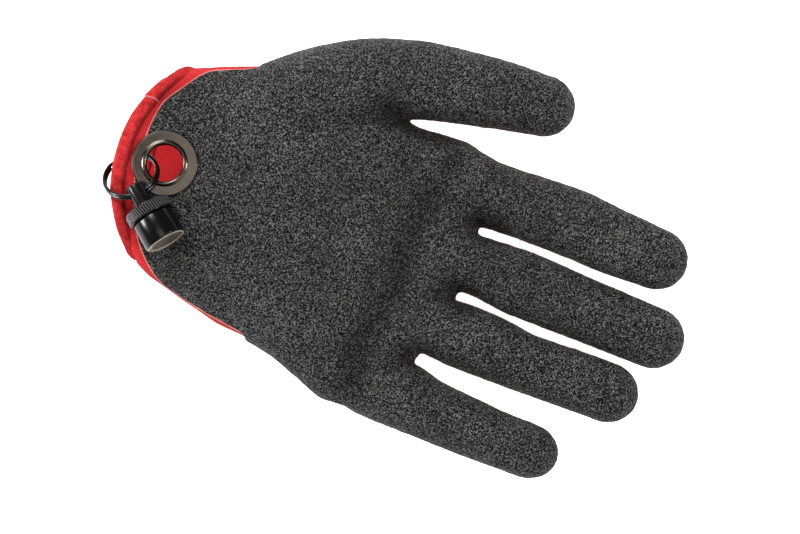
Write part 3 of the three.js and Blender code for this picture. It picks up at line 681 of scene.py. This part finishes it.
def makeStem():
    radius, lead, reach, corner = clip["stem"] / 2, clip["stemLead"], clip["stemReach"], clip["stemRound"]
    neck = radius - clip["neck"]
    profile = [(0.02, -lead), (radius - corner, -lead)]
    profile += arcRows((radius - corner, corner - lead), corner, -80, 0, 7)
    profile += [(radius, reach - 0.9), (neck, reach - 0.6), (neck, reach + clip["collarLength"])]
    place = clipFrame()
    piece = turned("clip_stem_metal", profile, clip["thinColumns"], place, closed=False)
    hole = clip["stemHole"] / 2 * mm
    drill = bpy.data.objects.new("drill", bpy.data.meshes.new("drill"))
    mesh = bmesh.new()
    bmesh.ops.create_cone(mesh, cap_ends=True, segments=64, radius1=hole, radius2=hole,
                          depth=3 * clip["stem"] * mm)
    mesh.to_mesh(drill.data)
    mesh.free()
    alongRing = ringAxes()[0].to_track_quat("Z", "Y").to_matrix().to_4x4()
    drill.data.transform(Matrix.Translation(place.translation) @ alongRing)
    bpy.context.scene.collection.objects.link(drill)
    cut = piece.modifiers.new("cut", "BOOLEAN")
    cut.operation, cut.solver, cut.object = "DIFFERENCE", "EXACT", drill
    soft = piece.modifiers.new("soft", "BEVEL")
    soft.width, soft.segments = 0.22 * mm, 2
    soft.limit_method, soft.angle_limit = "ANGLE", math.radians(38)
    applied(piece)
    bpy.data.objects.remove(drill)
    return piece


def makeCollar():
    radius, length, edge, knurl = clip["collar"] / 2, clip["collarLength"], clip["collarEdge"], clip["knurl"]
    columns = clip["teeth"] * 8
    angle = 2 * np.pi * np.arange(columns) / columns
    lean = math.tan(math.radians(clip["knurlLean"])) / radius
    side = [(clip["stem"] / 2 - 0.1, 0), (radius - edge - 0.25, 0), (radius - edge * 0.8, edge * 0.25)]
    bare = np.zeros(columns)
    rings = [turnedRing(angle, spread, height) for spread, height in side]
    ridges = [bare] * len(side)
    for height in np.linspace(edge, length - edge, clip["collarRows"]):
        tooth = np.abs(np.sin(clip["teeth"] / 2 * (angle + lean * height)))
        fade = np.clip(min(height - edge, length - edge - height) / clip["knurlFade"], 0, 1)
        spread = radius - knurl * (1 - fade) * 0.6 - knurl * (1 - tooth) * fade
        rings.append(turnedRing(angle, spread, height))
        ridges.append(tooth * fade)
    rings += [turnedRing(angle, spread, length - height) for spread, height in reversed(side)]
    ridges += [bare] * len(side)
    faces = gridFaces(len(rings), columns, True)
    piece = newPiece("knurled_collar_metal", np.vstack(rings) * mm, faces)
    piece.data.transform(clipFrame() @ Matrix.Translation((0, 0, clip["stemReach"] * mm)))
    storeValues(piece, "ridge", np.concatenate(ridges))
    return piece


def makeCup():
    radius, length, edge = clip["cup"] / 2, clip["cupLength"], clip["chamfer"]
    bore = radius - clip["cupWall"]
    recess = length - clip["magnet"] - clip["gap"]
    profile = [(0.02, 0), (radius - 0.5, 0)]
    profile += arcRows((radius - 0.4, 0.4), 0.4, -75, -5, 5)
    profile += [(radius, length - edge - 0.12), (radius - 0.05, length - edge)]
    profile += [(radius - edge, length - 0.06), (radius - edge - 0.06, length)]
    profile += [(bore + 0.05, length), (bore, length - 0.06), (bore, recess), (0.02, recess)]
    rim = [float(height > length - 0.1) for _, height in profile]  # the rim, which is painted with a highlight
    start = clip["stemReach"] + clip["collarLength"] + clip["gap"]
    place = clipFrame() @ Matrix.Translation((0, 0, start * mm))
    piece = turned("magnet_cup_metal", profile, clip["columns"], place)
    storeValues(piece, "ridge", np.repeat(rim, clip["columns"]))
    return piece


def makeMagnet():
    radius = clip["cup"] / 2 - clip["cupWall"] - clip["gap"] / 2
    deep, edge = clip["magnet"], clip["magnetEdge"]
    profile = [(0.02, -deep), (radius, -deep), (radius, -edge), (radius - edge, 0), (0.02, 0)]
    place = clipFrame() @ Matrix.Translation((0, 0, faceReach() * mm))
    return turned("magnet_face_metal", profile, clip["thinColumns"], place, closed=False)


def sharpened(piece, angle=35):
    piece.data.set_sharp_from_angle(angle=math.radians(angle))
    return piece


def standsFor(piece, nodes):
    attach(piece, "root")
    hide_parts(*nodes.split())
    return piece


latexSkin = standsFor(makeLatex(), "palm_coating")
print("latex:", len(latexSkin.data.polygons), "faces")
sleeves = " ".join("knit_" + digit for digit in digitSections)
knitGlove = standsFor(makeLiner(), "knit_liner " + sleeves)
print("knit:", len(knitGlove.data.polygons), "faces")
hemRoll = standsFor(makeHem(), "cuff_hem")
eyeletMetal = standsFor(sharpened(makeEyelet()), "eyelet")
ringWire = standsFor(sharpened(makeRing(), 60), "split_ring")
stemMetal = standsFor(sharpened(makeStem()), "clip_stem")
collarMetal = standsFor(sharpened(makeCollar()), "knurled_collar")
cupMetal = standsFor(sharpened(makeCup(), 28), "magnet_cup")
magnetMetal = standsFor(sharpened(makeMagnet()), "magnet_disc")
print("metal: made")


class Wire:
    # a socket that sums and products can be written with
    def __init__(self, finish, socket):
        self.finish = finish
        self.socket = socket

    def maths(self, operation, *values, **settings):
        sockets = dict(enumerate(values))
        return self.finish.node("ShaderNodeMath", {"operation": operation, **settings}, sockets)

    def __add__(self, other):
        return self.maths("ADD", self, other)

    def __radd__(self, other):
        return self.maths("ADD", other, self)

    def __sub__(self, other):
        return self.maths("SUBTRACT", self, other)

    def __rsub__(self, other):
        return self.maths("SUBTRACT", other, self)

    def __mul__(self, other):
        return self.maths("MULTIPLY", self, other)

    def __rmul__(self, other):
        return self.maths("MULTIPLY", other, self)

    def __pow__(self, other):
        return self.maths("POWER", self, other)

    def __rpow__(self, other):
        return self.maths("POWER", other, self)

    def __abs__(self):
        return self.maths("ABSOLUTE", self)

    def sine(self):
        return self.maths("SINE", self)

    def remainder(self):
        return self.maths("FRACT", self)

    def clamped(self):
        return self.maths("ADD", self, 0.0, use_clamp=True)

    def between(self, low, high):
        # 0 below low, 1 above high and smooth from one to the other
        return self.finish.node("ShaderNodeMapRange", {"interpolation_type": "SMOOTHSTEP"},
                                {"Value": self, "From Min": low, "From Max": high})


class Finish:
    # one material: constants go to its shader, and node() adds any other node
    def __init__(self, name, constants):
        self.material = bpy.data.materials.new(name)
        self.material.use_nodes = True
        self.tree = self.material.node_tree
        self.shader = self.tree.nodes["Principled BSDF"]
        for socket, value in constants.items():
            self.shader.inputs[socket].default_value = value

    def node(self, kind, settings, sockets, output=0):
        made = self.tree.nodes.new(kind)
        for key, value in settings.items():
            if key == "stops":
                self.setStops(made.color_ramp, value)
            else:
                setattr(made, key, value)
        for key, value in sockets.items():
            if isinstance(value, Wire):
                self.tree.links.new(value.socket, made.inputs[key])
            else:
                made.inputs[key].default_value = value
        return Wire(self, made.outputs[output])

    def setStops(self, ramp, stops):
        while len(ramp.elements) < len(stops):
            ramp.elements.new(0.5)
        for element, (place, colour) in zip(ramp.elements, stops):
            element.position, element.color = place, (*colour, 1)

    def place(self, kind="Object"):
        return self.node("ShaderNodeTexCoord", {}, {}, kind)

    def part(self, vector, axis):
        return self.node("ShaderNodeSeparateXYZ", {}, {0: vector}, axis)

    def value(self, attribute):
        return self.node("ShaderNodeAttribute", {"attribute_name": attribute}, {}, "Fac")

    def noise(self, where, scale, detail=2.0, rough=0.5, warp=0.0):
        return self.node("ShaderNodeTexNoise", {}, {"Vector": where, "Scale": scale, "Detail": detail,
                                                    "Roughness": rough, "Distortion": warp}, "Fac")

    def ramp(self, value, dark, middle, light):
        stops = [(0.0, dark), (0.5, middle), (1.0, light)]
        return self.node("ShaderNodeValToRGB", {"stops": stops}, {"Fac": value}, "Color")

    def mix(self, share, a, b):
        # inputs 6 and 7 of a colour Mix are its two colours
        a = a if isinstance(a, Wire) else (*a, 1)
        b = b if isinstance(b, Wire) else (*b, 1)
        return self.node("ShaderNodeMix", {"data_type": "RGBA"}, {0: share, 6: a, 7: b}, 2)

    def feed(self, socket, value):
        self.tree.links.new(value.socket, self.shader.inputs[socket])

    def bump(self, height, distance, strength=1.0):
        sockets = {"Height": height, "Distance": distance, "Strength": strength}
        self.feed("Normal", self.node("ShaderNodeBump", {}, sockets, "Normal"))

    def onto(self, *pieces):
        for piece in pieces:
            piece.data.materials.clear()
            piece.data.materials.append(self.material)


# Finishes: noises are in lumps per metre, stitches and depths in metres
latexLook = {
    "dark": (0.0006, 0.0006, 0.0006), "mid": (0.027, 0.0268, 0.0268), "light": (0.160, 0.158, 0.157),
    "crinkle": 1850.0, "coarse": 0.55, "pit": 0.39, "ridge": 0.61, "worm": 5.0,
    "bend": 260.0, "patch": 45.0, "creaseShade": 0.4, "rough": 0.72, "polish": 0.2, "depth": 0.00045,
}


def latexFinish():
    look = Finish("latex_crinkle", {"Specular IOR Level": 0.08})
    where = look.place()
    bend = look.noise(where, latexLook["bend"], 1.0)
    fine = look.noise(where, latexLook["crinkle"], 1.0, 0.5, 0.6)
    coarse = look.noise(where, latexLook["crinkle"] * latexLook["coarse"], 1.0, 0.5, 0.8)
    ridges = fine.between(latexLook["pit"], latexLook["ridge"])
    worms = 1 - (abs(coarse - 0.5) * latexLook["worm"]).clamped()
    crinkle = ridges * (worms * 0.5 + 0.5)
    patch = look.noise(where, latexLook["patch"], 2.0)
    # painted light and shade: the crinkle's ridges are painted lighter and its pits darker, over the same
    # pattern that its bump raises
    tone = (crinkle * (0.75 + patch * 0.4)).clamped()
    colour = look.ramp(tone, latexLook["dark"], latexLook["mid"], latexLook["light"])
    # painted shade: the latex is darkened along its creases
    creaseShade = (look.value("fold") * latexLook["creaseShade"]).clamped()
    look.feed("Base Color", look.mix(creaseShade, colour, latexLook["dark"]))
    look.feed("Roughness", latexLook["rough"] - crinkle * latexLook["polish"])
    look.bump(crinkle + bend * 0.4, latexLook["depth"])
    return look


knitLook = {
    "thread": (0.86, 0.018, 0.022), "shade": (0.20, 0.001, 0.002), "bright": (1.0, 0.11, 0.10),
    "edge": (0.80, 0.30, 0.27), "edgeShare": 0.8,  # the pale line beside the latex and at the hem's lap
    "wale": 0.00095, "course": 0.00075, "wobble": 160.0, "fuzz": 2200.0, "depth": 0.0008,
}
hemLook = {
    "rows": 7.0, "patch": 420.0, "depth": 0.0009,
    # the band of the roll that is darkened as painted shade in the groove beside the knit
    "grooveStart": 0.72, "grooveEnd": 0.98, "grooveShade": 0.75,
}
cloth = {"Specular IOR Level": 0.08, "Roughness": 0.85, "Sheen Weight": 0.04, "Sheen Roughness": 0.5}


def stitches(across, along):
    # V-shaped loops: across counts wales and along counts courses, both in stitches
    lean = abs(across.remainder() - 0.5) * 2.0
    loop = abs(((along + lean * 0.55) * math.pi).sine())
    side = (1 - lean ** 3.0).clamped()
    return (loop * 0.75 + 0.25) * (abs(lean - 0.5) * -1.6 + 1.0) * (side * 0.7 + 0.3)


def knitFinish():
    look = Finish("red_knit", cloth)
    where = look.place()
    x, y, z = [look.part(where, axis) for axis in range(3)]
    facing = look.place("Normal")
    sideways = abs(look.part(facing, 1))
    upward = abs(look.part(facing, 2))
    turnOver = (sideways - upward).between(-0.1, 0.1)
    wobble = look.noise(where, knitLook["wobble"], 1.0) * 0.5
    rows = x * (1 / knitLook["course"])
    flat = stitches(y * (1 / knitLook["wale"]) + wobble, rows)
    edgeOn = stitches(z * (1 / knitLook["wale"]) + wobble, rows)
    height = flat * (1 - turnOver) + edgeOn * turnOver
    fuzz = look.noise(where, knitLook["fuzz"], 2.0)
    tone = (height * 0.8 + fuzz * 0.35 - 0.1).clamped()
    colour = look.ramp(tone, knitLook["shade"], knitLook["thread"], knitLook["bright"])
    rim = look.value("dip")
    line = rim.between(-0.2, 0.15) * (1 - rim.between(0.35, 0.75))
    look.feed("Base Color", look.mix(line * knitLook["edgeShare"], colour, knitLook["edge"]))
    look.bump(height + fuzz * 0.3, knitLook["depth"])
    return look


def hemFinish():
    look = Finish("red_hem", cloth)
    where = look.place()
    band = look.value("band")
    height = stitches(look.value("around") * (1 / hem["ribSize"]) + 0.5, band * hemLook["rows"])
    fuzz = look.noise(where, knitLook["fuzz"], 2.0)
    patch = look.noise(where, hemLook["patch"], 3.0)
    tone = (height * 0.7 + fuzz * 0.8 + (patch - 0.5) * 0.9 - 0.22).clamped()
    colour = look.ramp(tone, knitLook["shade"], knitLook["thread"], knitLook["bright"])
    # painted shade in the groove where the roll meets the knit
    grooveShade = band.between(hemLook["grooveStart"], hemLook["grooveEnd"]) * hemLook["grooveShade"]
    grooveShaded = look.mix(grooveShade, colour, knitLook["shade"])
    lap = look.value("lap")
    line = lap.between(-0.3, -0.05) * (1 - lap.between(0.25, 0.55))
    look.feed("Base Color", look.mix(line * knitLook["edgeShare"], grooveShaded, knitLook["edge"]))
    look.bump(height + fuzz * 0.6, hemLook["depth"])
    return look


metalLook = {
    "gunmetal": {"dark": (0.022, 0.018, 0.015), "light": (0.088, 0.074, 0.062),
                 "rough": 0.22, "scratch": 0.22, "depth": 0.00004},
    "washer_steel": {"dark": (0.11, 0.09, 0.075), "light": (0.22, 0.19, 0.16),
                     "rough": 0.4, "scratch": 0.2, "depth": 0.00003},
    "ring_black_steel": {"dark": (0.018, 0.018, 0.019), "light": (0.05, 0.05, 0.052),
                         "rough": 0.24, "scratch": 0.15, "depth": 0.00002},
    "magnet_plate": {"dark": (0.42, 0.36, 0.30), "light": (0.55, 0.48, 0.41),
                     "rough": 0.32, "scratch": 0.08, "depth": 0.000004},
}


def metalFinish(name):
    # worn plated metal: broad patches, fine scratches and small pits
    values = metalLook[name]
    look = Finish(name, {"Metallic": 1.0})
    where = look.place()
    patch = look.noise(where, 240.0, 4.0, 0.6)
    fine = look.noise(where, 1800.0, 3.0, 0.7)
    share = (patch * 0.7 + fine * 0.5 - 0.1).clamped()
    look.feed("Base Color", look.mix(share, values["dark"], values["light"]))
    uneven = (patch - 0.5) * values["scratch"] + (fine - 0.5) * values["scratch"]
    look.feed("Roughness", values["rough"] + uneven)
    look.bump(fine + patch, values["depth"], 0.5)
    return look


blackLook = {
    "stem_black": {"tone": (0.002, 0.002, 0.0022), "rough": 0.24},
    "collar_black": {"tone": (0.0012, 0.0012, 0.0014), "rough": 0.26,
                     "highlightShare": 0.4, "bare": (0.16, 0.155, 0.15)},
    "cup_black": {"tone": (0.0012, 0.0012, 0.0014), "rough": 0.22,
                  "highlightShare": 1.0, "bare": (0.40, 0.34, 0.27)},
}


def blackFinish(name):
    # black anodised metal with a faint bead-blasted grain, and a painted highlight on its crests and edges
    values = blackLook[name]
    look = Finish(name, {"Specular IOR Level": 0.2})
    where = look.place()
    grain = look.noise(where, 2600.0, 2.0)
    patch = look.noise(where, 160.0, 3.0)
    paler = tuple(c * 2.2 for c in values["tone"])
    colour = look.mix((grain * 0.6 + patch * 0.4).clamped(), values["tone"], paler)
    if "highlightShare" in values:
        # painted highlight on the knurl's crests and on the cup's rim
        crest = look.value("ridge").between(0.55, 0.95) * (0.6 + grain * 0.4)
        colour = look.mix(crest * values["highlightShare"], colour, values["bare"])
    look.feed("Base Color", colour)
    look.feed("Roughness", values["rough"] + (grain - 0.5) * 0.15 + (patch - 0.5) * 0.1)
    look.bump(grain, 0.00002, 0.4)
    return look


latexFinish().onto(latexSkin)
knitFinish().onto(knitGlove)
hemFinish().onto(hemRoll)
metalFinish("gunmetal").onto(eyeletMetal)
metalFinish("washer_steel").onto(frame["nodes"]["eyelet_washer"])
metalFinish("ring_black_steel").onto(ringWire)
metalFinish("magnet_plate").onto(magnetMetal)
blackFinish("stem_black").onto(stemMetal)
blackFinish("collar_black").onto(collarMetal)
blackFinish("cup_black").onto(cupMetal)
print("finishes: made")


# Floor, lights and camera
studio = {
    "floor": (0.84, 0.84, 0.84), "glow": 0.92, "floorSize": 6.0, "floorDrop": 0.1, "sky": 0.12,
    "height": 0.90, "lens": 109.5, "sensor": 36, "roll": 16.0, "middle": (0.00213, -0.0104),
}
# name, place, size, power
lights = [
    ("key", (-0.80, 0.72, 1.0), 0.6, 24),
    ("fill", (0.9, -0.5, 1.0), 0.9, 4),
    ("top", (0.0, 0.0, 1.7), 0.9, 6),
    ("left", (-0.95, -0.20, 0.45), 0.3, 12),
    ("right", (0.93, 0.20, 0.75), 0.3, 10),
]


def makeFloor():
    size, low = studio["floorSize"], -studio["floorDrop"] * mm
    corners = [(-size, -size, low), (size, -size, low), (size, size, low), (-size, size, low)]
    floor = newPiece("floor", corners, [(0, 1, 2, 3)], smooth=False)
    look = Finish("floor_paint", {"Roughness": 0.9, "Specular IOR Level": 0.1,
                                  "Emission Color": (1, 1, 1, 1), "Emission Strength": studio["glow"]})
    grain = look.noise(look.place(), 300.0, 2.0)
    look.feed("Base Color", look.mix(grain, studio["floor"], tuple(c * 0.995 for c in studio["floor"])))
    look.onto(floor)


def addLight(name, place, size, power):
    data = bpy.data.lights.new(name, "AREA")
    data.shape, data.size, data.energy = "DISK", size, power
    light = bpy.data.objects.new(name, data)
    bpy.context.scene.collection.objects.link(light)
    light.location = place
    light.rotation_euler = (-Vector(place)).to_track_quat("-Z", "Y").to_euler()


makeFloor()
for row in lights:
    addLight(*row)

world = bpy.data.worlds.new("studio")
world.use_nodes = True
world.node_tree.nodes["Background"].inputs["Color"].default_value = (1, 1, 1, 1)
world.node_tree.nodes["Background"].inputs["Strength"].default_value = studio["sky"]
bpy.context.scene.world = world
bpy.context.scene.view_settings.view_transform = "Standard"

camera = bpy.data.objects.new("camera", bpy.data.cameras.new("camera"))
camera.data.lens = studio["lens"]
camera.data.sensor_width = studio["sensor"]
camera.location = (*studio["middle"], studio["height"])
camera.rotation_euler = (0, 0, math.radians(studio["roll"]))
bpy.context.scene.collection.objects.link(camera)
bpy.context.scene.camera = camera
print("studio: made")
